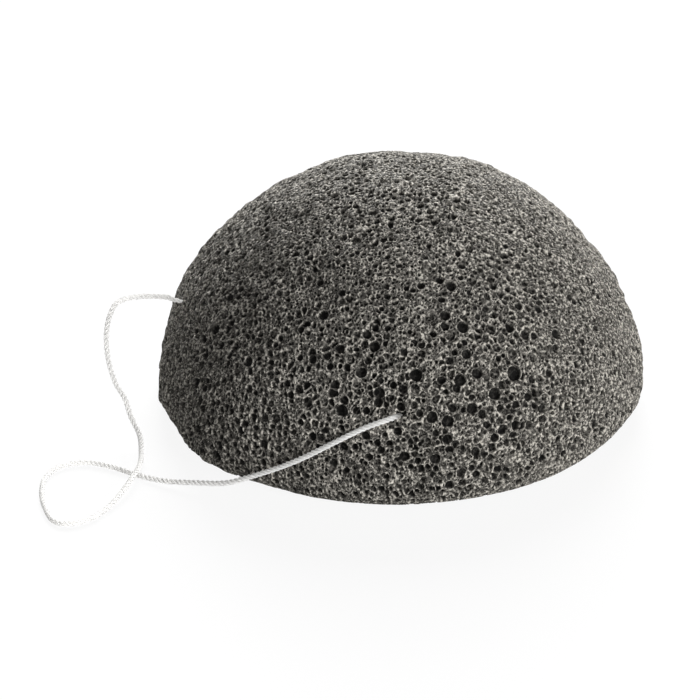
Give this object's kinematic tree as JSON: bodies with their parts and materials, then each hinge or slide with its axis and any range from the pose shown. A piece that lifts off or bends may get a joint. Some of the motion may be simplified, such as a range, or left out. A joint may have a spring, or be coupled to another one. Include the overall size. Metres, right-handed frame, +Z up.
{
  "type": "konjac facial sponge",
  "caption": "Half-ball konjac facial sponge of open-cell foam, flat underneath, with a threaded cotton string loop for hanging it up to dry.",
  "frame": {"origin": "centre of the flat base, on the surface that the sponge stands on", "axes": "+Z up through the crown of the dome; the string enters the front on the -Y side and leaves the side on the -X side"},
  "size_m": [0.0971, 0.0844, 0.04],
  "materials": {
    "foam": "matt charcoal-grey open-cell konjac foam, with round pores of many sizes",
    "string": "matt white twisted cotton string"
  },
  "bodies": {
    "root": {"sponge_body": "foam", "string_loop": "string", "string_tied_ends": "string"}
  },
  "joints": []
}
